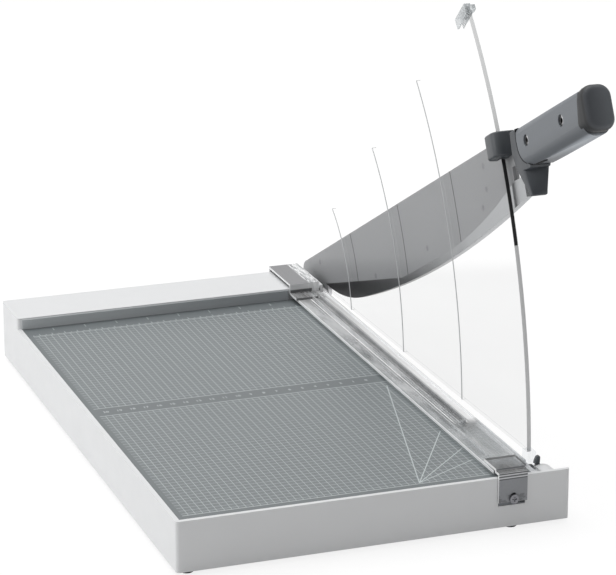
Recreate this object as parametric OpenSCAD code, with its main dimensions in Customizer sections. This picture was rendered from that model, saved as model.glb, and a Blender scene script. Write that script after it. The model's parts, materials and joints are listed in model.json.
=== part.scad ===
// Guillotine paper cutter with a clear sector guard and a hand-pressed clamp bar.
// Millimetres, +Z up. Origin: centre of the whole cutter's footprint, handle included, on the
// surface it stands on.
// The table's left is -X, the operator stands at -Y, and the blade swings in a YZ plane.

/* [Base] */
// Overall width of the front wall, lug included
base_w = 280; // [276:1:290]
// Overall depth of the casing
base_d = 463; // [460:1:480]
// Height of the casing above its own bottom edge
casing_h = 36; // [34:0.5:40]
// Height of the rubber feet below the casing
foot_h = 3; // [2:0.5:5]
// Wall thickness of the casing
wall = 3; // [2.5:0.5:3.5]
// Radius of the casing's upright corners
corner_r = 2.5; // [1:0.5:3]
// Distance from the right end of the front wall to the cut plane
lug_w = 23; // [23:1:28]
// Depth of the front lug, from front to back
lug_d = 30; // [28:1:40]
// Depth of the fence, from front to back
fence_d = 48; // [46:1:55]
// Height of the fence above the rim
fence_rise = 8.6; // [7:0.2:10]
// Distance from the origin back to the middle of the casing
base_y = 34.06; // [30:0.01:38]

/* [Table] */
// Thickness of the table plate
table_t = 2; // [1.5:0.5:2.5]
// Drop of the table's surface below the rim
table_drop = 0.4; // [0:0.1:0.8]
// Width of the lower blade
lower_w = 4.5; // [4:0.5:6]
// Height of the lower blade
lower_h = 12; // [10:1:14]

/* [Pivot] */
// Distance of the blade's pivot from the casing's rear edge
pivot_back = 8; // [8:1:14]
// Height of the pivot above the casing's bottom edge
pivot_up = 28; // [26:0.5:29]
// Diameter of the pivot bolt
bolt_d = 8; // [7:1:8]

/* [Blade] */
// Angle of the blade arm above the horizontal, as modelled, in degrees
open_angle = 27.1; // [20:0.1:32]
// Length of the arm plate in front of the pivot
arm_len = 450; // [446:1:452]
// Height of the arm's top edge above the line through the pivot
arm_top = 25; // [22:0.5:26]
// Thickness of the arm plate
arm_t = 2.2; // [2:0.1:2.4]
// Thickness of the knife
knife_t = 4.2; // [4:0.1:4.4]
// Radius of the knife's cutting edge
knife_r = 1450; // [1400:10:1600]
// Clearance between the knife and the lower blade
knife_gap = 0.1; // [0.05:0.01:0.2]

/* [Handle] */
// Distance from the pivot to the handle's rear end
handle_start = 484; // [482:1:488]
// Length of the handle body
handle_len = 107; // [100:1:115]
// Width of the handle
handle_w = 19.6; // [19:0.2:22]
// Length of the end cap
cap_len = 10; // [8:1:14]

/* [Guard] */
// Radius of the guard's curved edge about the pivot
guard_r = 442.5; // [440:0.5:444]
// Thickness of the guard panel
guard_t = 3; // [2.5:0.5:3]
// Slope of the guard's straight top edge, in degrees
guard_slope = 39.4; // [38:0.1:41]

/* [Clamp] */
// Width of the clamp bar
clamp_w = 28; // [26:1:29]
// Gap under the raised clamp bar
clamp_gap = 2.1; // [2.1:0.1:2.4]
// Thickness of the clamp bar
clamp_t = 2.2; // [2:0.1:2.6]

/* [Hidden] */
$fn = 64;
eps = 0.01;
// Outline of the casing
left_x = -base_w / 2;
right_x = base_w / 2;
front_y = base_y - base_d / 2;
rear_y = base_y + base_d / 2;
cut_x = right_x - lug_w;
side_recess = 0.6;
casing_x = cut_x - side_recess;
rim_z = foot_h + casing_h;
fence_y = rear_y - fence_d;
fence_z = rim_z + fence_rise;
rim_w = 3.3;
lug_y = front_y + lug_d;
// Table and lower blade
table_z = rim_z - table_drop;
plate_z = table_z - table_t;
deck_t = 2.5;
deck_z = plate_z - deck_t;
lower_x = cut_x - lower_w;
lower_y = [front_y + 14, fence_y + 10];
lower_z = [table_z - lower_h, table_z];
rail_w = 12.4;
rail_h = 14.6;
rail_x = [lower_x - rail_w, lower_x];
rail_y = [front_y + 14, rear_y - 27];
rail_z = [plate_z - rail_h, plate_z];
lower_screw_y = [for (i = [0 : 4]) lower_y[0] + 22 + i * 92];
lower_screw_z = lower_z[0] + 4.2;
// Shoulder of the casing behind the fence's right end, under the guard
fence_x = lower_x - eps;
shoulder_z = foot_h + 39;
cover_t = 2;
// Pivot
pivot_y = rear_y - pivot_back;
pivot_z = foot_h + pivot_up;
bolt_r = bolt_d / 2;
run_gap = 0.05;
thrust_r = 9.5;
thrust_t = 1;
thread_r = 2.5;
bracket_x = [casing_x - wall - 9, casing_x - wall];
// Blade arm, in the arm's own frame: u runs forward from the pivot, v is square to it
arm_x = [cut_x + knife_gap, cut_x + knife_gap + arm_t];
knife_x = [arm_x[0], arm_x[0] + knife_t];
knife_mid = 266;
knife_low = -34.6;
heel_u = 115;
heel_r = 200;
knife_end = 466;
arm_back = -14;
band_low = -28.7;
band_u = [208, 285];
band_r = 621;
band_slope = -0.156;
knife_screw_uv = [[154, -16.9], [270.8, -18], [388, -12]];
rivet_uv = [[400.2, 14.8], [399.3, -1.4], [30.5, 17.5]];
screw_r = 2.2;
tang_v = [3, 19];
tang_end = 580;
latch_hole_uv = [435.2, -19.6];
neck_z = -6.5;
// Handle
handle_mid = cut_x + 0.9;
handle_x = [handle_mid - handle_w / 2, handle_mid + handle_w / 2];
handle_end = handle_start + handle_len;
cap_end = handle_end + cap_len;
handle_screw_uv = [[500.6, 10.8], [560, 10]];
// Slider block on the guard's edge
slider_u = [436, 455];
slider_v = [10.5, 27.8];
slider_x = [cut_x - 12, cut_x + 5];
slide_gap = 0.35;
// Guard panel, in a level frame: u runs forward from the pivot, v is up
guard_x = [cut_x - 0.6 - guard_t, cut_x - 0.6];
guard_back = -15;
guard_low = 14;
guard_rise = 0.0112;
guard_rib_r = [104, 215, 328.6];
guard_rib_w = 0.8;
guard_rib_t = 0.5;
brake_span = [20.8, 31];
brake_t = 0.4;
brake_w = 2.4;
guard_tab_u = [13, 29.5];
guard_tab_v = 5;
guard_screw_uv = [[17, 10], [25.5, 10]];
clip_reach = 20;
// Clamp
clamp_x = [lower_x - clamp_w + 0.8, lower_x + 0.8];
clamp_y = [front_y + 5, fence_y - 2];
clamp_z = [table_z + clamp_gap, table_z + clamp_gap + clamp_t];
clamp_lift = 2.3;
clamp_travel = 2;
tab_t = 1.7;
guard_foot_x = [guard_x[0] - 3.5, guard_x[1]];
guard_foot_y = [front_y + 4, front_y + 13.5];
// Brackets, guide screws and springs: front first, then rear
bracket_spans = [[cut_x - 30.4, cut_x - 9.4], [cut_x - 33.5, cut_x - 9]];
pad_spans = [[cut_x - 30.4, cut_x - 7.9], [cut_x - 33.5, cut_x - 18.6]];
guide_xs = [cut_x - 19.4, cut_x - 22.5];
spring_xs = [cut_x - 12.9, cut_x - 29.5];
bracket_gap = 0.5;
bracket_t = 1.7;
bracket_low = foot_h + 15.5;
guide_z = foot_h + 21;
guide_r = 2;
spring_r = 1.9;
spring_wire = 0.35;
spring_turns = 8;
spring_z = [foot_h + 16.6, foot_h + 30];
spring_depth = 2.4;
rib_z = clamp_z[1] + 2.8;
rib_split_y = front_y + 98;
// Latch
latch_x = cut_x + 8.4;
latch_y = front_y + 19.5;
latch_z = foot_h + 29.5;
latch_t = 3;
pin_r = 1.2;
pocket_z = rim_z - 10;
hump_r = 9;
hump_x = cut_x + 9.5;
hump_y = [front_y + 5, front_y + 17.5];
ledge_z = foot_h + 31.4;
pad_x = cut_x + 2.6;
pad_y = front_y + 21;
pad_z = foot_h + 33.7;
// Feet and cover screws
foot_r = 5;
foot_in = [9.5, 8.5];
foot_x = [left_x + foot_in[0], casing_x - 16.4];
foot_y = [front_y + foot_in[1], rear_y - foot_in[1]];
post_x = [left_x + 28, left_x + 128, casing_x - 36];
post_y = [front_y + 30, base_y, rear_y - 30];
post_r = 4;

// ---------- shared shapes ----------

// Box given by its low and high limits on each axis
module slab(x, y, z) {
    translate([x[0], y[0], z[0]]) cube([x[1] - x[0], y[1] - y[0], z[1] - z[0]]);
}

// Rectangle with round corners, given by its limits
module round_rect(x, y, r) {
    translate([x[0] + r, y[0]]) square([x[1] - x[0] - 2 * r, y[1] - y[0]]);
    translate([x[0], y[0] + r]) square([x[1] - x[0], y[1] - y[0] - 2 * r]);
    for (cx = [x[0] + r, x[1] - r], cy = [y[0] + r, y[1] - r]) translate([cx, cy]) circle(r);
}

// Box with round upright edges
module round_slab(x, y, z, r) {
    translate([0, 0, z[0]]) linear_extrude(z[1] - z[0]) round_rect(x, y, r);
}

// Cylinder along X between two limits
module rod_x(x, y, z, r) {
    translate([x[0], y, z]) rotate([0, 90, 0]) cylinder(h = x[1] - x[0], r = r);
}

// Cylinder along Y between two limits
module rod_y(x, y, z, r) {
    translate([x, y[0], z]) rotate([-90, 0, 0]) cylinder(h = y[1] - y[0], r = r);
}

// Keeps a child at the casing's front (0) or mirrors it to the rear (1)
module end_side(side) {
    translate([0, base_y, 0]) mirror([0, side, 0]) translate([0, -base_y, 0]) children();
}

// Countersunk screw along -X, its flat head flush with the plane x
module flush_screw_x(x, y, z, r, len) {
    head = 1.6 * r;
    rod_x([x - len, x - head + eps], y, z, r);
    translate([x - head, y, z]) rotate([0, 90, 0]) cylinder(h = head, r1 = r, r2 = 2 * r);
}

// Flat outline in the arm's frame, given thickness between two X limits, at an angle about the pivot
module pivot_plate(x, angle) {
    translate([0, pivot_y, pivot_z]) rotate([-angle, 0, 0]) rotate([90, 0, -90])
        translate([0, 0, -x[1]]) linear_extrude(x[1] - x[0]) children();
}

// Places a child made for the frame u, v, with its Z running along -X from x
module at_arm(x, uv) {
    translate([0, pivot_y, pivot_z]) rotate([-open_angle, 0, 0]) rotate([90, 0, -90])
        translate([uv[0], uv[1], -x]) children();
}

// Coil of round wire about Z, from z = 0 to the given height
module coil(r, wire, turns, height) {
    sides = 8;
    steps = 20 * turns;
    points = [for (i = [0 : steps]) let (a = 360 * turns * i / steps)
        for (j = [0 : sides - 1]) let (b = 360 * j / sides, reach = r + wire * cos(b))
            [reach * cos(a), reach * sin(a), wire + (height - 2 * wire) * i / steps + wire * sin(b)]];
    skin = [for (i = [0 : steps - 1], j = [0 : sides - 1]) let (k = (j + 1) % sides)
        [i * sides + j, (i + 1) * sides + j, (i + 1) * sides + k, i * sides + k]];
    ends = [[for (j = [0 : sides - 1]) j], [for (j = [sides - 1 : -1 : 0]) steps * sides + j]];
    polyhedron(points = points, faces = concat(skin, ends), convexity = 6);
}

// ---------- base ----------

module casing_outline() {
    round_slab([left_x, casing_x], [front_y, rear_y], [foot_h, rim_z], corner_r);
    round_slab([left_x, fence_x], [fence_y, rear_y], [rim_z - wall, fence_z], corner_r);
    slab([fence_x - corner_r, casing_x], [fence_y, rear_y - corner_r], [rim_z - wall, shoulder_z]);
    // Lug: a full-height front wall and a lower platform behind it
    round_slab([casing_x - 8, right_x], [front_y, lug_y], [foot_h, pocket_z], corner_r);
    intersection() {
        round_slab([casing_x - 8, right_x], [front_y, lug_y], [foot_h, rim_z], corner_r);
        slab([casing_x - 8, right_x], [front_y, front_y + wall], [foot_h, rim_z]);
    }
    // Rounded housing of the latch, lower under the closed knife
    difference() {
        rod_y(hump_x, hump_y, pocket_z, hump_r);
        slab([cut_x - 5, cut_x + 5], [hump_y[0] - 1, hump_y[1] + 1], [ledge_z, rim_z + 5]);
        slab([cut_x - 5, right_x], [hump_y[0] - 1, hump_y[1] + 1], [foot_h, pocket_z - 1]);
    }
}

module casing_hollows() {
    inner_x = [left_x + wall, casing_x - wall];
    inner_y = [front_y + wall, rear_y - wall];
    slab(inner_x, inner_y, [foot_h - 1, deck_z]);
    slab([inner_x[0], fence_x - wall], [fence_y + wall, inner_y[1]], [deck_z - 1, fence_z - wall]);
    slab([cut_x, right_x - wall], [front_y + wall, lug_y - wall], [foot_h - 1, pocket_z - wall]);
    // Seat of the table plate
    slab([left_x + rim_w, lower_x], [front_y + rim_w, fence_y], [plate_z, rim_z + 1]);
    // Notch of the lower blade and its rail
    slab([lower_x - eps, cut_x], lower_y, [lower_z[0], rim_z + eps]);
    slab([rail_x[0], lower_x + eps], rail_y, [deck_z - eps, plate_z + eps]);
    // Seat of the guard's tab, beside the fence's end
    slab([fence_x, cut_x], [pivot_y - guard_tab_u[1] - 0.2, pivot_y - guard_tab_u[0] + 0.2],
        [pivot_z + guard_tab_v - 0.2, fence_z]);
}

// Hole of the latch's pin
module latch_cuts() {
    rod_y(latch_x, [hump_y[0] + 2, hump_y[1] + 1], latch_z, pin_r);
}

// Pocket of one clamp spring, in the front wall or mirrored in the rear wall
module spring_pocket(x) {
    slab([x - 3, x + 3], [front_y - 1, front_y + 5], [spring_z[0] - 0.1, spring_z[1] + 1.8]);
}

// Cuts for the clamp brackets' seats, springs and guide screws, at the front and at the rear
module clamp_cuts() {
    for (side = [0, 1]) end_side(side) {
        slab(bracket_spans[side] + [0.6, -0.6], [front_y - 1, front_y + 1.2],
            [bracket_low, guide_z + 13]);
        spring_pocket(spring_xs[side]);
        rod_y(guide_xs[side], [front_y - 1, front_y + 6.5], guide_z, guide_r - 0.4);
    }
    // Seat under the rear bracket's top plate, and the recess in the fence's face
    slab(bracket_spans[1] + [1.4, -0.4], [fence_y + 7, rear_y - 1.5], [fence_z - 1.2, fence_z + 1]);
    slab([bracket_spans[1][0] - 0.5, fence_x - wall], [fence_y - 1, fence_y + 1.6],
        [table_z, fence_z - 1.6]);
}

// Thick pads behind the clamp's guide screws and springs
module clamp_pads() {
    for (side = [0, 1]) end_side(side)
        slab(pad_spans[side], [front_y + 1, front_y + 8], [bracket_low - 4, deck_z + 1]);
}

module base_shell() {
    color("whitesmoke") difference() {
        union() {
            difference() {
                casing_outline();
                casing_hollows();
            }
            clamp_pads();
            for (x = post_x, y = post_y) let (roof = y > fence_y ? fence_z - wall : deck_z)
                translate([x, y, foot_h + cover_t]) cylinder(h = roof - foot_h - cover_t + 1, r = post_r);
        }
        clamp_cuts();
        latch_cuts();
        for (x = post_x, y = post_y)
            translate([x, y, foot_h]) cylinder(h = 14, r = 1.3);
        // Pivot: bore of the bolt, seat of the thrust washer, room for the bracket
        rod_x([casing_x - wall - 1, cut_x], pivot_y, pivot_z, bolt_r + 0.3);
        rod_x([cut_x - thrust_t, cut_x + 1], pivot_y, pivot_z, thrust_r + 0.3);
        slab(bracket_x + [-0.2, 0], [rear_y - 22.6, rear_y - wall], [foot_h, pivot_z + 8.1]);
        // Screw holes of the guard
        for (uv = guard_screw_uv)
            rod_x([fence_x - 8, guard_x[0] + 1], pivot_y - uv[0], pivot_z + uv[1], 1.2);
        // Seat of the stop pad in the lug
        translate([pad_x, pad_y, pocket_z - 2]) cylinder(h = 3, r = 1.4);
    }
}

module table_plate() {
    gap = 0.15;
    color("slategray")
        slab([left_x + rim_w + gap, lower_x - gap], [front_y + rim_w + gap, fence_y - gap],
            [plate_z, table_z]);
}

module stop_rail() {
    color("dimgray")
        slab([left_x + rim_w + 0.2, bracket_spans[1][0] - 1.2], [fence_y - 1.2, fence_y],
            [table_z + 0.05, fence_z - 1]);
}

module bottom_cover() {
    gap = 0.2;
    color("gainsboro") difference() {
        slab([left_x + wall + gap, casing_x - wall - gap], [front_y + wall + gap, rear_y - wall - gap],
            [foot_h, foot_h + cover_t]);
        for (x = post_x, y = post_y) translate([x, y, foot_h - 1]) cylinder(h = 4, r = 1.7);
        for (x = post_x, y = post_y) translate([x, y, foot_h - eps]) cylinder(h = 1.1, r = 3.2);
        for (x = foot_x, y = foot_y) translate([x, y, foot_h - 1]) cylinder(h = 4, r = 2.5);
    }
}

module cover_screws() {
    color("silver") for (x = post_x, y = post_y) translate([x, y, foot_h + 0.1]) {
        cylinder(h = 0.9, r = 2.9);
        cylinder(h = 12, r = 1.3);
    }
}

module rubber_feet() {
    color("black") for (x = foot_x, y = foot_y) translate([x, y, 0]) {
        cylinder(h = foot_h - 0.8, r1 = foot_r - 0.6, r2 = foot_r);
        translate([0, 0, foot_h - 0.8]) cylinder(h = 0.8, r = foot_r);
        cylinder(h = foot_h + cover_t + 1, r = 2.4);
    }
}

module side_rail() {
    color("darkgray") difference() {
        slab(rail_x, rail_y, rail_z);
        for (y = lower_screw_y) rod_x([rail_x[1] - 9, rail_x[1] + 1], y, lower_screw_z, 1.7);
    }
}

module lower_blade() {
    color("lightsteelblue") difference() {
        slab([lower_x, cut_x], lower_y, lower_z);
        for (y = lower_screw_y) flush_screw_x(cut_x + eps, y, lower_screw_z, 1.75, 8);
    }
}

module lower_blade_screws() {
    color("gray") for (y = lower_screw_y) flush_screw_x(cut_x, y, lower_screw_z, 1.7, 13);
}

// ---------- pivot ----------

module pivot_bracket() {
    color("dimgray") difference() {
        slab(bracket_x, [rear_y - 22.4, rear_y - wall - 0.2], [foot_h + cover_t + 3, pivot_z + 8]);
        rod_x([bracket_x[0] - 1, bracket_x[1] + 1], pivot_y, pivot_z, thread_r);
    }
}

// Shoulder bolt: a thin thread through bracket and nut, a thick shank through wall and bush
module pivot_bolt() {
    head_x = arm_x[1] + 8;
    color("silver") {
        rod_x([bracket_x[0] - 5.5, bracket_x[1] + 1], pivot_y, pivot_z, thread_r);
        rod_x([bracket_x[1], head_x + 0.5], pivot_y, pivot_z, bolt_r);
        difference() {
            rod_x([head_x, head_x + 5], pivot_y, pivot_z, bolt_r + 3);
            translate([head_x + 2.5, pivot_y, pivot_z]) rotate([0, 90, 0]) cylinder(h = 4, r = 3.4, $fn = 6);
        }
    }
}

module pivot_nut() {
    color("silver") difference() {
        translate([bracket_x[0] - 4.1, pivot_y, pivot_z]) rotate([0, 90, 0])
            cylinder(h = 4, r = thread_r + 2.1, $fn = 6);
        rod_x([bracket_x[0] - 6, bracket_x[0] + 1], pivot_y, pivot_z, thread_r);
    }
}

// Flat ring about the pivot
module pivot_ring(x, r_in, r_out) {
    difference() {
        rod_x(x, pivot_y, pivot_z, r_out);
        rod_x([x[0] - 1, x[1] + 1], pivot_y, pivot_z, r_in);
    }
}

module thrust_washer() {
    color("white") pivot_ring([cut_x - thrust_t, cut_x + 0.02], bolt_r, thrust_r);
}

module pivot_washer() {
    color("silver") pivot_ring([arm_x[1] + 4.65, arm_x[1] + 5.8], bolt_r, 9);
}

module wave_spring() {
    color("goldenrod") pivot_ring([arm_x[1] + 5.8, arm_x[1] + 8], bolt_r + 0.3, 7.4);
}

module pivot_bush() {
    flange_x = [arm_x[1], arm_x[1] + 2.2];
    color("darkgoldenrod") difference() {
        union() {
            rod_x([arm_x[0], arm_x[1] + 4.6], pivot_y, pivot_z, 6.5);
            rod_x(flange_x, pivot_y, pivot_z, 12);
        }
        rod_x([arm_x[0] - 1, arm_x[1] + 5], pivot_y, pivot_z, bolt_r + run_gap);
    }
}

// ---------- clamp ----------

module clamp_seats() {
    color("dimgray") {
        for (side = [0, 1]) end_side(side) difference() {
            slab(bracket_spans[side] + [0.8, -0.8], [front_y + 0.2, front_y + 1.2],
                [bracket_low + 0.2, guide_z + 12.8]);
            spring_pocket(spring_xs[side]);
            rod_y(guide_xs[side], [front_y - 1, front_y + 6.5], guide_z, guide_r + 0.1);
        }
        slab(bracket_spans[1] + [1.6, -0.6], [fence_y + 7.2, rear_y - 1.7],
            [fence_z - 1.2, fence_z - 0.2]);
    }
}

// Shoulder screws on which the clamp's brackets slide
module clamp_guide_screws() {
    plate = bracket_gap + bracket_t;
    color("silver") for (side = [0, 1]) end_side(side) {
        rod_y(guide_xs[side], [front_y - plate - 0.3, front_y + 1.1], guide_z, guide_r);
        rod_y(guide_xs[side], [front_y, front_y + 6], guide_z, guide_r - 0.4);
        difference() {
            rod_y(guide_xs[side], [front_y - plate - 1.9, front_y - plate - 0.1], guide_z, 3.3);
            for (turn = [0, 90]) translate([guide_xs[side], front_y - plate - 1.9, guide_z])
                rotate([0, turn, 0]) cube([3.4, 1.6, 0.8], center = true);
        }
    }
}

module clamp_spring(x) {
    color("silver") translate([x, front_y + spring_depth, spring_z[0]])
        coil(spring_r, spring_wire, spring_turns, spring_z[1] - spring_z[0] - 0.05);
}

module clamp_spring_front() { clamp_spring(spring_xs[0]); }

module clamp_spring_rear() { end_side(1) clamp_spring(spring_xs[1]); }

// Rib along Y on top of the clamp bar
module clamp_rib(x, y) {
    slab([x - 0.6, x + 0.6], y, [clamp_z[1] - eps, rib_z]);
}

module clamp_bar() {
    pair_x = [clamp_x[0] + 12, clamp_x[0] + 18];
    pair_mid = (pair_x[0] + pair_x[1]) / 2;
    lip = 1.4;
    color("lightcyan") difference() {
        union() {
            slab(clamp_x, clamp_y, clamp_z);
            for (x = pair_x) clamp_rib(x, [rib_split_y, clamp_y[1] - 16]);
            clamp_rib(clamp_x[0] + 5.6, [clamp_y[0] + 21, rib_split_y - 4]);
            slab([clamp_x[1] - lip, clamp_x[1]], clamp_y, [clamp_z[1] - eps, clamp_z[1] + 1]);
            // Round front end of the pair of ribs
            translate([pair_mid, rib_split_y, clamp_z[1] - eps]) difference() {
                cylinder(h = rib_z - clamp_z[1] + eps, r = 3.6);
                translate([0, 0, -1]) cylinder(h = 10, r = 2.4);
                translate([-5, 0, -1]) cube(10);
            }
        }
        // Corner cut away beside the guard's foot
        slab([guard_foot_x[0] - 0.4, cut_x], [front_y, guard_foot_y[1] + 0.5], [table_z, fence_z]);
    }
}

// Upright plate that hooks over the casing's wall and slides on the guide screw
module clamp_hook(side, z_top) {
    span = bracket_spans[side];
    x = guide_xs[side];
    y0 = front_y - bracket_gap - bracket_t;
    slot_z = [guide_z - guide_r - 0.1, guide_z + guide_r + clamp_travel + 0.1];
    difference() {
        slab(span, [y0, front_y - bracket_gap], [bracket_low + 3, z_top]);
        for (z = [slot_z[0] + guide_r + 0.1, slot_z[1] - guide_r - 0.1])
            rod_y(x, [y0 - 1, front_y], z, guide_r + 0.1);
        slab([x - guide_r - 0.1, x + guide_r + 0.1], [y0 - 1, front_y],
            [slot_z[0] + guide_r + 0.1, slot_z[1] - guide_r - 0.1]);
    }
    // Ledge that rests on the spring
    slab([spring_xs[side] - 2.6, spring_xs[side] + 2.6], [front_y - bracket_gap - eps, front_y + 4.6],
        [spring_z[1], spring_z[1] + 1.5]);
}

module clamp_front_bracket() {
    span = bracket_spans[0];
    tab_z = [rim_z + clamp_lift, rim_z + clamp_lift + tab_t];
    top_z = max(tab_z[1], clamp_z[1] + tab_t);
    color("lightcyan") {
        clamp_hook(0, tab_z[1]);
        slab(span, [front_y - bracket_gap - bracket_t, clamp_y[0] - 0.1], tab_z);
        slab([span[0], guard_foot_x[0] - 0.4], [clamp_y[0] - 0.3, clamp_y[0] + 19],
            [clamp_z[1], clamp_z[1] + tab_t]);
        slab(span, [clamp_y[0] - 2, clamp_y[0] - 0.1], [tab_z[0], top_z]);
    }
}

module clamp_rear_bracket() {
    span = bracket_spans[1];
    top_z = [fence_z + clamp_lift, fence_z + clamp_lift + tab_t];
    y_in = clamp_y[1];
    color("lightcyan") {
        end_side(1) clamp_hook(1, top_z[1]);
        slab(span, [y_in - 0.1, rear_y + bracket_gap + bracket_t], top_z);
        slab(span, [y_in - 0.1, y_in + 1.6], [clamp_z[1], top_z[1]]);
        slab(span, [y_in - 15, y_in], [clamp_z[1], clamp_z[1] + tab_t]);
    }
}

// ---------- guard ----------

// Level of the guard's lower edge at a distance u in front of the pivot
function guard_floor(u) = guard_low + guard_rise * u;

// Side outline of the guard: straight bottom, back and top edges and a curved front edge
module guard_outline() {
    reach = 500;
    top = [for (u = [guard_back, reach]) [u, 25 + (u - guard_back) * tan(guard_slope)]];
    intersection() {
        circle(guard_r, $fn = 360);
        polygon([[guard_back, guard_floor(guard_back)], [reach, guard_floor(reach)], top[1], top[0]]);
    }
    // Tab that is screwed to the fence's end
    translate([guard_tab_u[0], guard_tab_v])
        square([guard_tab_u[1] - guard_tab_u[0], guard_low - guard_tab_v + 1]);
}

module guard_panel() {
    color("aliceblue") difference() {
        union() {
            pivot_plate(guard_x, 0) guard_outline();
            pivot_plate([guard_x[0] - guard_rib_t, guard_x[0] + eps], 0) intersection() {
                guard_outline();
                for (r = guard_rib_r) difference() {
                    circle(r, $fn = 360);
                    circle(r - guard_rib_w, $fn = 360);
                }
            }
        }
        for (uv = guard_screw_uv)
            flush_screw_x(guard_x[1] + eps, pivot_y - uv[0], pivot_z + uv[1], 1.25, 12);
        // Seat of the brake strip in the curved edge
        brake_ring(brake_t, brake_w + 0.1, [brake_span[0] - 0.1, brake_span[1] + 0.1]);
    }
}

// Sector of a ring just inside the guard's curved edge
module brake_ring(t, w, span) {
    mid = (guard_x[0] + guard_x[1]) / 2;
    pivot_plate([mid - w / 2, mid + w / 2], 0) intersection() {
        difference() {
            circle(guard_r + 1, $fn = 360);
            circle(guard_r - t, $fn = 360);
        }
        polygon([[0, 0], [500 * cos(span[0]), 500 * sin(span[0])], [500 * cos(span[1]), 500 * sin(span[1])]]);
    }
}

module brake_strip() {
    color("black") intersection() {
        brake_ring(brake_t, brake_w, brake_span);
        pivot_plate([guard_x[0] - 1, guard_x[1] + 1], 0) circle(guard_r, $fn = 360);
    }
}

// Clip on the guard's top corner, which stops the slider at the end of its travel
module guard_stop_clip() {
    tip = atan2(304, 325);
    color("gainsboro") difference() {
        union() {
            pivot_plate([guard_x[0] - 1.4, guard_x[1] + 0.4], 0) intersection() {
                circle(guard_r + 1.2, $fn = 360);
                rotate(tip) translate([guard_r - clip_reach, -6]) square([30, 8]);
            }
            pivot_plate([guard_x[1], cut_x + 3], 0) intersection() {
                circle(guard_r + 1.2, $fn = 360);
                rotate(tip) translate([guard_r - 4, -3]) square([10, 4]);
            }
        }
        pivot_plate(guard_x, 0) guard_outline();
    }
}

// Block on the front wall that holds the guard's front corner in a slot
module guard_foot() {
    color("lightcyan") difference() {
        slab(guard_foot_x, guard_foot_y, [rim_z, rim_z + 14]);
        pivot_plate([guard_x[0] - 0.02, guard_x[1] + 1], 0) intersection() {
            circle(guard_r + 0.05, $fn = 360);
            translate([guard_r - 40, guard_floor(guard_r) - 0.1]) square([80, 40]);
        }
    }
}

module guard_screws() {
    color("silver") for (uv = guard_screw_uv)
        flush_screw_x(guard_x[1], pivot_y - uv[0], pivot_z + uv[1], 1.2, 8);
}

// ---------- blade ----------

// Centre of the heel's arc, tangent to the cutting edge where they meet
function edge_centre_v() = knife_low + knife_r;
function edge_v(u) = edge_centre_v() - sqrt(knife_r * knife_r - (u - knife_mid) * (u - knife_mid));
function heel_centre() = [heel_u, edge_v(heel_u)]
    + heel_r * [knife_mid - heel_u, edge_centre_v() - edge_v(heel_u)] / knife_r;

// Whole side outline of arm and knife above the cutting edge
module edge_outline(u_end) {
    intersection() {
        translate([knife_mid, edge_centre_v()]) circle(knife_r, $fn = 720);
        translate([heel_u - eps, -60]) square([u_end - heel_u + eps, 60 + arm_top]);
    }
    intersection() {
        translate(heel_centre()) circle(heel_r, $fn = 360);
        translate([0, -60]) square([heel_u, 60 + arm_top]);
    }
}

// Region above the upper limit of the ground band
module band_outline() {
    rise_u = band_low / band_slope;
    polygon([[arm_back, 60], [arm_back, 4], [0, 4], [band_u[0], band_low + 0.4],
        [band_u[0] + 3, band_low], [band_u[1], band_low], [band_u[1], 60]]);
    intersection() {
        translate([band_u[1], band_low + band_r]) circle(band_r, $fn = 720);
        translate([band_u[1] - eps, -60]) square([220, 120]);
    }
}

module arm_outline() {
    difference() {
        union() {
            intersection() {
                edge_outline(arm_len);
                band_outline();
            }
            // Front end's lower corner is round, and the tang runs on into the handle
            translate([arm_len - eps, tang_v[0]]) square([tang_end - arm_len, tang_v[1] - tang_v[0]]);
            round_rect([arm_back, 34], [-16, arm_top], 9);
        }
        difference() {
            translate([arm_len - 5, -20]) square([6, 16]);
            translate([arm_len - 5, -4]) circle(5);
            translate([arm_len - 6, -4]) square(20);
        }
        circle(6.5);
        for (uv = concat(rivet_uv, knife_screw_uv, handle_screw_uv)) translate(uv) circle(screw_r);
    }
}

module blade_arm() {
    color("darkgray") pivot_plate(arm_x, open_angle) arm_outline();
}

// Knife: full thickness below the arm plate's edge, and a lap behind the plate
module knife() {
    lap = 14;
    full_x = knife_x;
    lap_x = [arm_x[1], knife_x[1]];
    color("lightsteelblue") difference() {
        union() {
            pivot_plate(full_x, open_angle) difference() {
                intersection() {
                    edge_outline(knife_end);
                    translate([36, -60]) square([knife_end, 60 + 3]);
                }
                intersection() {
                    band_outline();
                    translate([-20, -60]) square([arm_len + 20, 120]);
                }
                translate([arm_len - eps, neck_z]) square([60, 60]);
            }
            pivot_plate(lap_x, open_angle) intersection() {
                edge_outline(knife_end);
                translate([0, lap]) knife_lap();
                translate([60, -60]) square([arm_len - 60, 75]);
            }
        }
        for (uv = knife_screw_uv) at_arm(knife_x[1] + 1, uv) cylinder(h = knife_t + 2, r = screw_r);
        for (uv = rivet_uv) at_arm(knife_x[1] + 1, uv) cylinder(h = 3, r = 3.8);
        at_arm(knife_x[1] + 1, latch_hole_uv) cylinder(h = 3, r = 2.6);
    }
}

// Region below the ground band's upper limit
module knife_lap() {
    difference() {
        translate([0, -90]) square([500, 150]);
        band_outline();
        translate([band_u[1], -20]) square([220, 90]);
    }
    intersection() {
        translate([band_u[1] - 1, -60]) square([220, 120]);
        difference() {
            translate([band_u[1] - 1, -60]) square([220, 100]);
            translate([band_u[1], band_low + band_r]) circle(band_r, $fn = 720);
        }
    }
}

// Flat-headed screws through arm and knife, with a low nut on the far side
module knife_screws() {
    color("gray") for (uv = knife_screw_uv) {
        at_arm(knife_x[1] + 1.6, uv) cylinder(h = knife_t + 1.6, r = screw_r);
        at_arm(knife_x[1] + 1.8, uv) cylinder(h = 1.75, r = 3.8, $fn = 6);
    }
}

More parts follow.
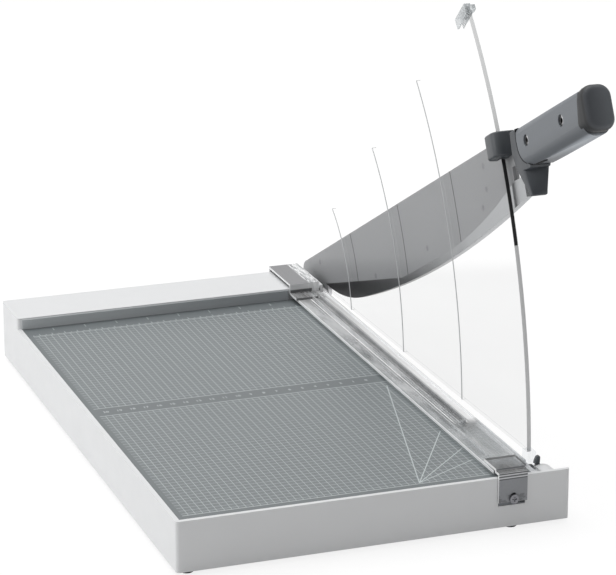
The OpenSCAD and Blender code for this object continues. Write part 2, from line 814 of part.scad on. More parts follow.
module tang_rivets() {
    color("gray") for (uv = rivet_uv) {
        at_arm(arm_x[1] + 1.2, uv) cylinder(h = arm_t + 1.2, r = screw_r);
        at_arm(arm_x[1] + 1.3, uv) cylinder(h = 1.25, r = 3.6);
    }
}

// ---------- handle ----------

// Side outline of the handle body
module handle_outline() {
    polygon([[handle_start + 1.8, 22.6], [handle_end, 21.2], [handle_end, -7.8], [handle_start + 40, -6.4],
        [handle_start + 16, -5.6], [handle_start + 9, -2.6], [handle_start + 4, 2],
        [handle_start + 1, 7.5], [handle_start + 0.3, 14]]);
}

// Cross-section of the handle between two distances from the pivot, with its own corner radii
module handle_section(u, w, v, r_top, r_low) {
    translate([0, pivot_y, pivot_z]) rotate([-open_angle, 0, 0]) rotate([90, 0, 0])
        translate([handle_mid, 0, u[0]]) linear_extrude(u[1] - u[0]) {
            translate([-w / 2, v[0] + r_low]) square([w, v[1] - v[0] - r_low - r_top]);
            translate([-w / 2 + r_low, v[0]]) square([w - 2 * r_low, r_low + 1]);
            translate([-w / 2 + r_top, v[1] - r_top - 1]) square([w - 2 * r_top, r_top + 1]);
            for (side = [-1, 1]) {
                translate([side * (w / 2 - r_low), v[0] + r_low]) circle(r_low);
                translate([side * (w / 2 - r_top), v[1] - r_top]) circle(r_top);
            }
        }
}

// Half of the handle between two X limits, hollowed for the tang
module handle_half(x) {
    difference() {
        intersection() {
            pivot_plate(x, open_angle) handle_outline();
            handle_section([handle_start, handle_end + 1], handle_w, [-7.8, 22.4], 4.5, 8.5);
        }
        pivot_plate(arm_x + [-0.1, 0.1], open_angle)
            translate([handle_start - 5, tang_v[0] - 0.2])
            square([tang_end - handle_start + 5.2, tang_v[1] - tang_v[0] + 0.4]);
        for (uv = handle_screw_uv) {
            at_arm(handle_x[1] + 1, uv) cylinder(h = handle_w + 2, r = 2);
            at_arm(handle_x[0] + 2.4, uv) cylinder(h = 5, r = 4);
            at_arm(handle_x[1] + 1, uv) cylinder(h = 4, r = 4.2);
        }
    }
}

module handle_left() { color("gray") handle_half([handle_x[0], handle_mid]); }

module handle_right() { color("gray") handle_half([handle_mid, handle_x[1]]); }

module handle_cap() {
    color("darkslategray") intersection() {
        handle_section([handle_end, cap_end], handle_w + 1.2, [-6.4, 23.8], 7, 7.5);
        pivot_plate(handle_x + [-2, 2], open_angle)
            round_rect([handle_end - 10, cap_end], [-6.4, 23.8], 6);
    }
}

module handle_screws() {
    color("black") for (uv = handle_screw_uv) {
        at_arm(handle_x[1] - 2.4, uv) cylinder(h = handle_w - 4.8, r = 1.9);
        difference() {
            at_arm(handle_x[0] + 2.4, uv) cylinder(h = 1.6, r = 3.7);
            at_arm(handle_x[0] + 2, uv) cylinder(h = 3, r = 1.8, $fn = 6);
        }
    }
}

module handle_nuts() {
    color("silver") for (uv = handle_screw_uv) difference() {
        at_arm(handle_x[1] - 0.4, uv) cylinder(h = 2.5, r = 3.8, $fn = 6);
        at_arm(handle_x[1], uv) cylinder(h = 6, r = 1.9);
    }
}

// Collar behind the handle, with a tapering finger stop below it
module finger_guard() {
    h = handle_start;
    x_left = handle_mid - handle_w / 2 + 0.9;
    side = [[h - 10.5, 22.4], [h + 1.6, 22.4], [h + 0.1, 14], [h + 0.8, 7.4], [h + 3.8, 1.8],
        [h + 8.9, -2.8], [h + 16, -6], [h + 17.5, -6], [h + 14, -14], [h + 11.5, -25], [h + 5, -25],
        [h - 0.8, -18.9], [h - 6.5, -10.2], [h - 9.5, -2.3], [h - 12.6, 7.4]];
    color("darkslategray") difference() {
        intersection() {
            pivot_plate([x_left, handle_mid + 5.6], open_angle) polygon(side);
            // The stop narrows downwards, on its right side only
            translate([0, pivot_y, pivot_z]) rotate([-open_angle, 0, 0]) rotate([90, 0, 0])
                translate([0, 0, h - 20]) linear_extrude(60)
                polygon([[x_left, 24], [handle_mid + 5.6, 24], [handle_mid + 5.1, -4],
                    [handle_mid + 2.8, -25], [x_left, -25]]);
        }
        pivot_plate(arm_x + [-0.1, 0.1], open_angle)
            translate([h - 20, tang_v[0] - 0.2]) square([60, tang_v[1] - tang_v[0] + 0.4]);
    }
}

// Block on the arm that straddles the guard's curved edge
module guard_slider() {
    color("darkslategray") difference() {
        pivot_plate(slider_x, open_angle) round_rect(slider_u, slider_v, 2.5);
        // Slot for the guard, open towards the pivot
        pivot_plate([guard_x[0] - slide_gap - guard_rib_t, guard_x[1] + slide_gap], open_angle)
            intersection() {
                circle(guard_r + 0.6, $fn = 360);
                translate([slider_u[0] - 1, slider_v[0] - 1]) square([30, 30]);
            }
        // Groove over the arm plate's top edge
        pivot_plate([arm_x[0] - 0.02, arm_x[1] + 0.02], open_angle)
            translate([slider_u[0] - 1, slider_v[0] - 1]) square([30, arm_top - slider_v[0] + 1]);
    }
}

// ---------- latch ----------

// Lever that tilts towards the blade and puts its nose into the hole in the closed knife
module latch_lever() {
    tip_z = foot_h + 40.6 - latch_z;
    nose_z = foot_h + 39.2 - latch_z;
    color("dimgray") translate([latch_x, latch_y + latch_t / 2, latch_z]) rotate([90, 0, 0])
        difference() {
            union() {
                cylinder(h = latch_t, r = 2.8);
                linear_extrude(latch_t)
                    polygon([[-1.6, 0.9], [-2.4, 4.8], [-1.5, nose_z - 1.4], [-2.4, nose_z - 0.8],
                        [-2.4, nose_z + 0.8], [-0.9, tip_z], [1.6, tip_z], [1.6, 0.9]]);
            }
            translate([0, 0, -1]) cylinder(h = latch_t + 2, r = pin_r + run_gap);
        }
}

module latch_pin() {
    y = [hump_y[0] + 2, latch_y + latch_t / 2 + 4.5];
    color("silver") {
        rod_y(latch_x, y, latch_z, pin_r);
        rod_y(latch_x, [y[1] - 0.8, y[1]], latch_z, pin_r + 1.2);
    }
}

// Torsion spring behind the lever, round the pin
module latch_spring() {
    color("silver") translate([latch_x, latch_y + latch_t / 2 + 3.4, latch_z]) rotate([90, 0, 0])
        coil(pin_r + 0.6, 0.35, 4, 3.2);
}

module stop_pad() {
    color("black") translate([pad_x, pad_y, pocket_z]) {
        cylinder(h = pad_z - pocket_z, r = 2);
        translate([0, 0, -1.9]) cylinder(h = 2, r = 1.35);
    }
}

base_shell();
table_plate();
stop_rail();
bottom_cover();
cover_screws();
rubber_feet();
side_rail();
lower_blade();
lower_blade_screws();
pivot_bracket();
pivot_bolt();
pivot_nut();
thrust_washer();
pivot_washer();
wave_spring();
clamp_seats();
clamp_guide_screws();
clamp_spring_front();
clamp_spring_rear();
clamp_bar();
clamp_rear_bracket();
clamp_front_bracket();
guard_panel();
guard_stop_clip();
guard_foot();
guard_screws();
brake_strip();
blade_arm();
knife();
knife_screws();
tang_rivets();
pivot_bush();
handle_left();
handle_right();
handle_cap();
handle_screws();
handle_nuts();
finger_guard();
guard_slider();
latch_lever();
latch_pin();
latch_spring();
stop_pad();
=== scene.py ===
import json
import math

import bmesh
import bpy
from mathutils import Matrix, Vector


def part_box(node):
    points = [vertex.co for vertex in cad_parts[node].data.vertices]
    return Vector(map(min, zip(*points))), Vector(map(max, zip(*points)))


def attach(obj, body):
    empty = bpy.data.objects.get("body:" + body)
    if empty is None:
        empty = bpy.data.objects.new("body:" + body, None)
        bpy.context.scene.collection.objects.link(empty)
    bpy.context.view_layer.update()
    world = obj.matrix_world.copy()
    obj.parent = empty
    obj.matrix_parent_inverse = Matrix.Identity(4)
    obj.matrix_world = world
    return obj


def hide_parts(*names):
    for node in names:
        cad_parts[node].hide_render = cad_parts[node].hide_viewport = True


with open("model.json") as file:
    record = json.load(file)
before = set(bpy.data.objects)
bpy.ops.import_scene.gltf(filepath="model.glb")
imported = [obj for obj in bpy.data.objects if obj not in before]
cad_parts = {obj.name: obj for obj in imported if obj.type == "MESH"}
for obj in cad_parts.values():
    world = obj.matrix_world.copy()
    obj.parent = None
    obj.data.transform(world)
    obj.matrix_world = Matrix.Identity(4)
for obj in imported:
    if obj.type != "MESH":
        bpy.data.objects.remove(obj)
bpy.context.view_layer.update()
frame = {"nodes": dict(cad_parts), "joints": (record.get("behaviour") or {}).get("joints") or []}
NODES = frame["nodes"]
MM = 0.001


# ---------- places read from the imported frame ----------

def node_box(name):
    """Limits of a CAD node in millimetres."""
    lo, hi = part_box(name)
    return [v * 1000 for v in lo], [v * 1000 for v in hi]


def joint_place(name):
    """Place of a joint in millimetres."""
    joint = next(j for j in frame["joints"] if j["name"] == name)
    return [v * 1000 for v in joint["pos_m"]]


PIVOT = joint_place("blade_hinge")
LATCH_PIN = joint_place("latch_tilt")
# Angle of the arm above the horizontal, as the frame holds it
OPEN = math.radians(27.1)
TABLE_LO, TABLE_HI = node_box("table_plate")
SHELL_LO, SHELL_HI = node_box("base_shell")
BASE_Y = (SHELL_LO[1] + SHELL_HI[1]) / 2
CLAMP_LO, CLAMP_HI = node_box("clamp_bar")
GUARD_LO, GUARD_HI = node_box("guard_panel")
SLIDER_LO, SLIDER_HI = node_box("guard_slider")
ARM_LO, ARM_HI = node_box("blade_arm")
LATCH_LO, LATCH_HI = node_box("latch_lever")
# Front end of the clamp bar's pair of ribs
RIB_FRONT = SHELL_LO[1] + 98
# Radii of the guard's ribs round the hinge, middle of each rib
GUARD_RIBS = (103.6, 214.6, 328.2)
# Stretch of the arm taken by the grip and its cap, measured from the hinge
HANDLE_START, HANDLE_END, CAP_END = 484.0, 591.0, 601.0
HANDLE_MID = sum(node_box("handle_cap")[i][0] for i in (0, 1)) / 2
# Distances of the handle's screws from the hinge
HANDLE_SCREWS = (500.6, 560.0)
# Distance from the hinge to the knife's front end
KNIFE_LENGTH = 470.0
# Strip across the table that carries the centimetre numbers
RULER_STRIP = (BASE_Y - 24.2, BASE_Y - 8.2)
NUMBER_PITCH, NUMBER_COUNT, NUMBER_SIZE = 9.95, 21, 4.4
# Ends of the angle rays on the table, measured from the corner where they start
RAYS = ((49.0, 187.5), (24.0, 92.0), (50.0, 86.0), (52.5, 51.0), (50.0, 27.6))


# ---------- node helpers ----------

class Nodes:
    """Short way to build a material's node tree."""

    def __init__(self, name):
        self.mat = bpy.data.materials.new(name)
        self.mat.use_nodes = True
        self.tree = self.mat.node_tree
        self.tree.nodes.clear()
        self.out = self.tree.nodes.new("ShaderNodeOutputMaterial")
        self._coord = None

    def new(self, kind, **values):
        made = self.tree.nodes.new("ShaderNode" + kind)
        for key, value in values.items():
            if hasattr(made, key) and key not in made.inputs:
                setattr(made, key, value)
            else:
                self.put(made.inputs[key], value)
        return made

    def put(self, socket, value):
        if isinstance(value, bpy.types.NodeSocket):
            self.tree.links.new(value, socket)
        elif value is not None:
            socket.default_value = value

    def coord(self):
        if self._coord is None:
            self._coord = self.new("TexCoord")
        return self._coord.outputs["Object"]

    def axes(self):
        """Object coordinates in millimetres, as three sockets."""
        split = self.new("SeparateXYZ", Vector=self.coord())
        return [self.times(socket, 1000.0) for socket in split.outputs]

    def math(self, op, a, b=None):
        m = self.tree.nodes.new("ShaderNodeMath")
        m.operation = op
        self.put(m.inputs[0], a)
        self.put(m.inputs[1], b)
        return m.outputs[0]

    def times(self, *factors):
        total = factors[0]
        for factor in factors[1:]:
            total = self.math("MULTIPLY", total, factor)
        return total

    def less(self, a, b):
        return self.math("SUBTRACT", a, b)

    def most(self, masks):
        """Largest of several masks."""
        total = masks[0]
        for mask in masks[1:]:
            total = self.math("MAXIMUM", total, mask)
        return total

    def line(self, axis, place, half, soft):
        """1 within half of a place on an axis, fading out over soft to either side."""
        off = self.math("ABSOLUTE", self.less(axis, place))
        return self.smooth(off, half + soft, half - soft)

    def normal(self):
        """The three parts of the surface's normal, as sockets."""
        return self.new("SeparateXYZ", Vector=self.new("TexCoord").outputs["Normal"]).outputs

    def over(self, below, above, fac):
        """One shader laid over another."""
        m = self.new("MixShader", Fac=fac)
        self.put(m.inputs[1], below)
        self.put(m.inputs[2], above)
        return m.outputs[0]

    def surface(self, colour, rough):
        """Plain shader of one colour."""
        return self.new("BsdfPrincipled", **{"Base Color": (*colour, 1), "Roughness": rough}).outputs[0]

    def see_through(self, colour):
        return self.new("BsdfTransparent", Color=(*colour, 1)).outputs[0]

    def sheen(self, rough):
        return self.new("BsdfGlossy", Color=(1, 1, 1, 1), Roughness=rough).outputs[0]

    def ramp(self, value, stops):
        r = self.tree.nodes.new("ShaderNodeValToRGB")
        while len(r.color_ramp.elements) < len(stops):
            r.color_ramp.elements.new(0.5)
        for element, (place, colour) in zip(r.color_ramp.elements, stops):
            element.position = place
            element.color = (*colour, 1)
        self.put(r.inputs[0], value)
        return r.outputs[0]

    def smooth(self, value, lo, hi, to_lo=0.0, to_hi=1.0):
        """Smooth step from to_lo at lo to to_hi at hi."""
        m = self.tree.nodes.new("ShaderNodeMapRange")
        m.interpolation_type = "SMOOTHSTEP"
        for i, v in enumerate((value, lo, hi, to_lo, to_hi)):
            self.put(m.inputs[i], v)
        return m.outputs[0]

    def mix(self, factor, a, b):
        m = self.tree.nodes.new("ShaderNodeMix")
        m.data_type = "RGBA"
        self.put(m.inputs[0], factor)
        self.put(m.inputs[6], (*a, 1) if isinstance(a, tuple) else a)
        self.put(m.inputs[7], (*b, 1) if isinstance(b, tuple) else b)
        return m.outputs[2]

    def noise(self, scale, detail=3.0, roughness=0.5, vector=None):
        n = self.new("TexNoise", Scale=scale, Detail=detail, Roughness=roughness,
                     Vector=vector if vector is not None else self.coord())
        return n.outputs[0]

    def stretched(self, scale_xyz):
        """Object coordinates scaled apart on each axis, so that noise draws out into streaks."""
        m = self.new("Mapping", Vector=self.coord())
        m.inputs["Scale"].default_value = scale_xyz
        return m.outputs[0]

    def bump(self, height, strength, distance=0.0002):
        return self.new("Bump", Height=height, Strength=strength, Distance=distance).outputs[0]

    def finish(self, shader):
        self.tree.links.new(shader, self.out.inputs[0])
        return self.mat


def srgb(r, g, b):
    """Linear colour from 0-255 values."""
    def one(v):
        v /= 255
        return v / 12.92 if v <= 0.04045 else ((v + 0.055) / 1.055) ** 2.4
    return (one(r), one(g), one(b))


def shade(colour, k):
    return tuple(min(1.0, c * k) for c in colour)


# ---------- materials ----------

ACRYLIC_IOR = 1.49

def plastic(name, colour, rough=0.42, grain=0.12, grain_scale=2600, spread=0.05):
    """Moulded plastic: fine spark-eroded grain, faint flow clouds, slightly worn gloss."""
    t = Nodes(name)
    clouds = t.noise(28, 3)
    speck = t.noise(grain_scale, 2, 0.6)
    base = t.mix(clouds, shade(colour, 1 - spread), shade(colour, 1 + spread))
    base = t.mix(t.times(speck, 0.10), base, shade(colour, 0.8))
    p = t.new("BsdfPrincipled", **{"Base Color": base})
    t.put(p.inputs["Roughness"], t.smooth(t.noise(90, 4), 0.25, 0.8, rough - 0.05, rough + 0.07))
    t.put(p.inputs["Normal"], t.bump(speck, grain))
    return t.finish(p.outputs[0])


def rubber(name, colour=(0.008, 0.008, 0.009)):
    """Black rubber with a little dust on it."""
    t = Nodes(name)
    dust = t.noise(1400, 5, 0.7)
    base = t.mix(t.smooth(dust, 0.55, 0.8), colour, shade(colour, 2.2))
    p = t.new("BsdfPrincipled", **{"Base Color": base, "Roughness": 0.75})
    t.put(p.inputs["Normal"], t.bump(dust, 0.3))
    return t.finish(p.outputs[0])


def metal(name, colour, rough=0.3, grain_axes=(60, 2600, 2600), grain=0.12, spread=0.12):
    """Brushed or ground metal: streaks along one axis and a little stain."""
    t = Nodes(name)
    streak = t.noise(1.0, 4, 0.6, t.stretched(grain_axes))
    stain = t.noise(60, 4)
    base = t.mix(streak, shade(colour, 1 - spread), shade(colour, 1 + spread))
    base = t.mix(t.smooth(stain, 0.5, 0.9, 0.0, 0.25), base, shade(colour, 0.75))
    p = t.new("BsdfPrincipled", **{"Base Color": base, "Metallic": 1.0})
    t.put(p.inputs["Roughness"], t.smooth(streak, 0.2, 0.8, rough - 0.06, rough + 0.1))
    t.put(p.inputs["Normal"], t.bump(streak, grain, 0.0001))
    return t.finish(p.outputs[0])


def paint(name, colour, rough=0.4, spread=0.04):
    """Powder-coated sheet metal with a fine orange-peel surface."""
    t = Nodes(name)
    peel = t.noise(900, 3, 0.55)
    clouds = t.noise(12, 2)
    base = t.mix(clouds, shade(colour, 1 - spread), shade(colour, 1 + spread))
    p = t.new("BsdfPrincipled", **{"Base Color": base, "Metallic": 0.15})
    t.put(p.inputs["Roughness"], t.smooth(peel, 0.3, 0.7, rough - 0.04, rough + 0.06))
    t.put(p.inputs["Normal"], t.bump(peel, 0.03, 0.0001))
    return t.finish(p.outputs[0])


def clear(name, tint, edge, edge_alpha, flat_axis, haze, gloss):
    """Clear acrylic: see-through faces with a light sheen, denser where a cut edge faces out.
    Faces whose normal lies along flat_axis (0 to 2) are the clear ones."""
    t = Nodes(name)
    facing = t.math("ABSOLUTE", t.normal()[flat_axis])
    is_edge = t.smooth(facing, 0.9, 0.5)
    scuffs = t.noise(1.0, 4, 0.65, t.stretched((300, 40, 300)))
    haze_all = t.math("ADD", haze, t.smooth(scuffs, 0.6, 0.9, 0.0, 0.03))
    milky = t.surface(edge, 0.25)
    fresnel = t.new("Fresnel", IOR=ACRYLIC_IOR).outputs[0]
    body = t.over(t.see_through(tint), milky, haze_all)
    body = t.over(body, t.sheen(0.05), t.times(fresnel, gloss))
    return t.finish(t.over(body, milky, t.times(is_edge, edge_alpha)))


def ring_lines(t, radii, half, soft=0.12):
    """Thin circles round the hinge, seen on any upright sheet beside the blade."""
    _, y, z = t.axes()
    dy, dz = t.less(y, PIVOT[1]), t.less(z, PIVOT[2])
    radius = t.math("SQRT", t.math("ADD", t.times(dy, dy), t.times(dz, dz)))
    return line_set(t, radius, radii, half, soft)


def fence_face(name):
    """Front strip of the fence, greyed as painted shade and a little lighter at its left end as painted
    light.
    """
    t = Nodes(name)
    x, _, _ = t.axes()
    speck = t.noise(2600, 2, 0.6)
    # Painted light and shade: the strip is greyed as shade and lighter towards its left end
    along = t.smooth(x, -140.0, 100.0)
    base = t.mix(along, srgb(206, 210, 212), srgb(164, 168, 171))
    base = t.mix(t.times(speck, 0.12), base, srgb(100, 103, 106))
    p = t.new("BsdfPrincipled", **{"Base Color": base, "Roughness": 0.45})
    t.put(p.inputs["Normal"], t.bump(speck, 0.06))
    return t.finish(p.outputs[0])


def guard_sheet(name):
    """Clear guard: nearly invisible faces with a faint painted reflection low down, frosted ribs, a greyish
    polished front edge, a painted dark reflection where the faces bend into it, and a slope edge that melts
    away."""
    t = Nodes(name)
    _, y, z = t.axes()
    nx, ny, nz = t.normal()
    facing = t.math("ABSOLUTE", nx)
    rim = t.smooth(facing, 0.35, 0.1)
    corner = t.times(t.smooth(facing, 0.97, 0.85), t.less(1.0, rim))
    # Cycles turns the normal towards the viewer on faces seen from inside, so turn it back
    inside = t.new("NewGeometry").outputs["Backfacing"]
    outward = t.less(1.0, t.times(inside, 2.0))
    forward = t.smooth(t.times(ny, outward), 0.25, 0.0)
    left = t.math("LESS_THAN", t.times(nx, outward), 0.5)
    scuffs = t.noise(1.0, 4, 0.65, t.stretched((300, 30, 300)))
    # Painted reflection: the faces are tinted a little darker low down
    low = t.smooth(t.math("ADD", z, t.times(y, 0.3)), 138.0, 118.0)
    tint = t.mix(low, (0.995, 0.995, 0.995), (0.945, 0.946, 0.946))
    through = t.new("BsdfTransparent", Color=tint).outputs[0]
    frost = t.surface((0.62, 0.63, 0.64), 0.3)
    polished = t.surface((0.60, 0.61, 0.615), 0.25)
    dark = t.surface((0.22, 0.23, 0.24), 0.2)

    fresnel = t.new("Fresnel", IOR=ACRYLIC_IOR).outputs[0]
    shine = t.times(fresnel, t.math("ADD", 0.05, t.times(scuffs, 0.06)), t.less(1.0, inside))
    body = t.over(through, t.sheen(0.05), shine)
    ribs = t.times(ring_lines(t, GUARD_RIBS, 0.45), left)
    body = t.over(body, frost, t.times(ribs, 0.8))
    under = t.smooth(t.times(nz, outward), -0.55, -0.8)
    edge_fill = t.times(rim, forward, t.smooth(z, 330.0, 180.0, 0.62, 0.92), t.less(1.0, under))
    body = t.over(body, polished, edge_fill)
    # Painted dark reflection along the bend from the faces into the front edge
    return t.finish(t.over(body, dark, t.times(corner, forward, 0.55)))


def line_set(t, axis, places, half, soft=0.15):
    return t.most([t.line(axis, place, half, soft) for place in places])


WHITE_STREAK = (0.93, 0.935, 0.94)


def clamp_look(name):
    """Clear clamp bar: drawn-out bright streaks beside and right of the ribs, a see-through left part
    that is hazier at the rear, and a clear grey front end."""
    t = Nodes(name)
    x, y, _ = t.axes()
    left, right = CLAMP_LO[0], CLAMP_HI[0]
    streak = t.noise(1.0, 3, 0.6, t.stretched((420, 7, 420)))
    blotch = t.noise(1.0, 3, 0.6, t.stretched((90, 22, 90)))
    rear = t.smooth(y, RIB_FRONT - 6.0, RIB_FRONT + 8.0)
    far = t.smooth(y, RIB_FRONT, CLAMP_HI[1])
    bright = t.times(t.smooth(x, left + 16.5, left + 19.5), rear)
    cloudy = t.smooth(t.math("ADD", blotch, t.times(far, 0.25)), 0.35, 0.85, 0.08, 0.52)
    haze = t.math("ADD", t.times(bright, t.smooth(streak, 0.2, 0.55, 0.62, 0.97)),
                  t.times(t.less(1.0, bright), cloudy))
    white = t.surface(WHITE_STREAK, 0.25)
    dark = t.surface((0.07, 0.075, 0.08), 0.2)
    fresnel = t.new("Fresnel", IOR=ACRYLIC_IOR).outputs[0]
    body = t.over(t.see_through((0.93, 0.94, 0.945)), white, haze)
    body = t.over(body, t.sheen(0.08), t.times(fresnel, 0.35))
    light = t.times(line_set(t, x, (left + 10.4, left + 14.8, left + 19.6), 0.5), rear)
    shadow = t.times(line_set(t, x, (left + 12.3, left + 17.4, left + 21.4), 0.42), rear)
    body = t.over(body, white, t.times(light, 0.9))
    body = t.over(body, dark, t.times(shadow, 0.5))
    rims = line_set(t, x, (left, right), 0.45)
    return t.finish(t.over(body, white, t.times(rims, 0.75)))


def bracket_look(name, split_x, plate, bands_z=()):
    """Clear hook over a satin grey plate: the part right of split_x is streaky and bright with painted
    highlights.
    With bands_z it is the front hook, with bright and dark lines at those heights and a mottled
    lower half; without, it is the rear hook, with the slot in its front wall drawn as a dark strip of painted
    shade."""
    t = Nodes(name)
    x, _, z = t.axes()
    nx, ny, nz = t.normal()
    streak = t.noise(1.0, 4, 0.7, t.stretched((500, 60, 90)))
    grain = t.noise(700, 3)
    through = t.see_through((0.92, 0.93, 0.935))
    grey = t.new("BsdfPrincipled", **{"Base Color": t.mix(grain, shade(plate, 0.94), shade(plate, 1.06)),
                                      "Roughness": 0.4}).outputs[0]
    white = t.surface(WHITE_STREAK, 0.2)
    dark = t.surface((0.035, 0.037, 0.04), 0.25)
    # Painted highlights: the clear part right of split_x carries bright streaks
    clear_part = t.over(through, white, t.smooth(streak, 0.40, 0.60, 0.12, 0.97))
    body = t.over(grey, clear_part, t.smooth(x, split_x - 0.4, split_x + 0.4))
    wall = t.smooth(t.math("ABSOLUTE", ny), 0.6, 0.9)
    top = t.smooth(nz, 0.6, 0.9)
    if bands_z:
        mottle = t.smooth(t.noise(210, 3, 0.65), 0.42, 0.58)
        low = t.smooth(z, 27.4, 26.6)
        body = t.over(body, dark, t.times(low, mottle, 0.45))
        body = t.over(body, white, t.times(line_set(t, z, [b + 0.9 for b in bands_z], 0.28), 0.8))
        body = t.over(body, dark, t.times(line_set(t, z, bands_z, 0.30), 0.8))
        hazy = t.over(through, white, t.smooth(streak, 0.3, 0.7, 0.10, 0.26))
        body = t.over(body, hazy, t.times(top, 0.92))
    else:
        body = t.over(body, white, t.times(wall, 0.75))
        hazy = t.over(through, white, t.smooth(streak, 0.3, 0.7, 0.15, 0.4))
        body = t.over(body, hazy, t.times(top, t.smooth(z, 47.0, 46.0), 0.92))
        # Painted shade: the slot high in the front wall is drawn as a dark strip
        slot = t.times(wall, t.smooth(z, 47.4, 46.6), t.smooth(x, split_x + 3.5, split_x + 2.5))
        body = t.over(body, dark, t.times(slot, 0.85))
    edges = t.smooth(t.math("ABSOLUTE", nx), 0.3, 0.8)
    return t.finish(t.over(body, white, t.times(edges, 0.9)))


def between(t, axis, lo, hi):
    return t.times(t.math("GREATER_THAN", axis, lo), t.math("LESS_THAN", axis, hi))


def comb(t, axis, pitch, origin, half, soft=0.12):
    """Repeated lines at a pitch, one of them at origin."""
    shifted = t.less(axis, origin - pitch / 2)
    local = t.less(t.math("FLOORED_MODULO", shifted, pitch), pitch / 2)
    return t.smooth(t.math("ABSOLUTE", local), half + soft, half - soft)


def ray(t, x, y, start, dx, dy):
    """Straight printed line from start to start + (dx, dy)."""
    length = math.hypot(dx, dy)
    rx, ry = t.less(x, start[0]), t.less(y, start[1])
    off = t.math("ABSOLUTE", t.less(t.times(rx, dy / length), t.times(ry, dx / length)))
    along = t.math("ADD", t.times(rx, dx / length), t.times(ry, dy / length))
    return t.times(t.smooth(off, 0.5, 0.22), between(t, along, 0, length))


def table_print(name):
    """Grey table with its printed 5 mm grid, rulers and angle rays."""
    t = Nodes(name)
    x, y, _ = t.axes()
    ground = srgb(112, 118, 120)
    ink = srgb(196, 203, 204)
    left, front = TABLE_LO[0], TABLE_LO[1]
    grid_front, grid_rear = front + 6.5, BASE_Y + 164
    strip = RULER_STRIP

    in_x = between(t, x, left + 4, TABLE_HI[0])
    in_grid = t.times(in_x, between(t, y, grid_front, grid_rear), t.less(1.0, between(t, y, *strip)))
    coarse = t.times(t.most([comb(t, x, 5, left + 8.2, 0.2), comb(t, y, 5, strip[1], 0.2)]), 0.85)
    fine = t.most([comb(t, x, 1, left + 8.2, 0.07, 0.06), comb(t, y, 1, strip[1], 0.07, 0.06)])
    bars = t.most([t.line(y, place, 0.32, 0.12) for place in (*strip, grid_rear, grid_front)])
    marks = [t.times(coarse, in_grid), t.times(fine, 0.24, in_grid), t.times(bars, in_x)]
    # Centimetre, half-centimetre and inch marks along the fence: pitch, offset, half width, from, to
    rulers = ((10, 9.85, 0.22, 0, 4), (5, 9.85, 0.16, 0, 2.2), (25.4, 23.5, 0.25, 10, 15.5))
    for pitch, offset, half, near, far in rulers:
        stripe = between(t, y, grid_rear + near, grid_rear + far)
        marks.append(t.times(comb(t, x, pitch, left + offset, half), stripe, in_x))
    marks += [ray(t, x, y, (left + 171, front + 8), dx, dy) for dx, dy in RAYS]
    mask = t.most(marks)

    clouds = t.noise(14, 3)
    speck = t.noise(2400, 2, 0.6)
    base = t.mix(clouds, shade(ground, 0.96), shade(ground, 1.04))
    base = t.mix(t.times(speck, 0.12), base, shade(ground, 0.75))
    worn = t.times(mask, t.smooth(t.noise(900, 4), 0.2, 0.45, 0.75, 1.0))
    base = t.mix(worn, base, ink)
    p = t.new("BsdfPrincipled", **{"Base Color": base})
    t.put(p.inputs["Roughness"], t.math("ADD", 0.42, t.times(mask, 0.08)))
    t.put(p.inputs["Normal"], t.bump(t.less(speck, t.times(mask, 0.5)), 0.06))
    return t.finish(p.outputs[0])


def arm_axes(t):
    """Distances along and across the arm, from the hinge, in millimetres, with the arm as drawn."""
    _, y, z = t.axes()
    back, up = t.less(PIVOT[1], y), t.less(z, PIVOT[2])
    u = t.math("ADD", t.times(back, math.cos(OPEN)), t.times(up, math.sin(OPEN)))
    v = t.less(t.times(up, math.cos(OPEN)), t.times(back, math.sin(OPEN)))
    return u, v


def arm_paint(name):
    """Grey coated arm plate. On its left face, thin dark lines of painted shadow lie beside the guard's ribs,
    with faint light lines of painted highlight just inside them.
    """
    t = Nodes(name)
    peel = t.noise(900, 3, 0.55)
    clouds = t.noise(9, 2)
    colour = srgb(153, 154, 156)
    base = t.mix(clouds, shade(colour, 0.97), shade(colour, 1.03))
    u, _ = arm_axes(t)
    base = t.mix(t.smooth(u, 330.0, 480.0), base, shade(colour, 0.86))
    left = t.math("LESS_THAN", t.axes()[0], ARM_LO[0] + 0.1)
    # Painted shadow of each guard rib: a thin dark line 10.5 mm further out, on the left face only
    rib_shadow = ring_lines(t, [r + 10.5 for r in GUARD_RIBS], 0.6)
    # Painted highlight of each guard rib: a faint light line 4.5 mm further in
    rib_highlight = ring_lines(t, [r - 4.5 for r in GUARD_RIBS], 0.25)
    base = t.mix(t.times(rib_shadow, left, 0.95), base, (0.02, 0.02, 0.021))
    base = t.mix(t.times(rib_highlight, left, 0.35), base, (0.6, 0.6, 0.62))
    p = t.new("BsdfPrincipled", **{"Base Color": base, "Metallic": 0.1})
    t.put(p.inputs["Roughness"], t.smooth(peel, 0.3, 0.7, 0.42, 0.46))
    t.put(p.inputs["Normal"], t.bump(peel, 0.006, 0.0001))
    return t.finish(p.outputs[0])


def grip_plastic(name):
    """Grey grip: fine grain, with painted shade making it a little darker towards its lower half and a
    painted highlight along the underside.
    """
    t = Nodes(name)
    speck = t.noise(2200, 2, 0.6)
    _, v = arm_axes(t)
    # Painted shade: a little darker towards the lower half
    low = t.smooth(v, 10.0, -4.0)
    base = t.mix(low, shade(GREY_BODY, 1.06), shade(GREY_BODY, 0.82))
    # Painted highlight: lighter along the underside
    base = t.mix(t.smooth(v, -5.6, -7.4), base, shade(GREY_BODY, 2.7))
    base = t.mix(t.times(speck, 0.10), base, shade(GREY_BODY, 0.7))
    p = t.new("BsdfPrincipled", **{"Base Color": base, "Roughness": 0.48})
    t.put(p.inputs["Normal"], t.bump(speck, 0.08))
    return t.finish(p.outputs[0])


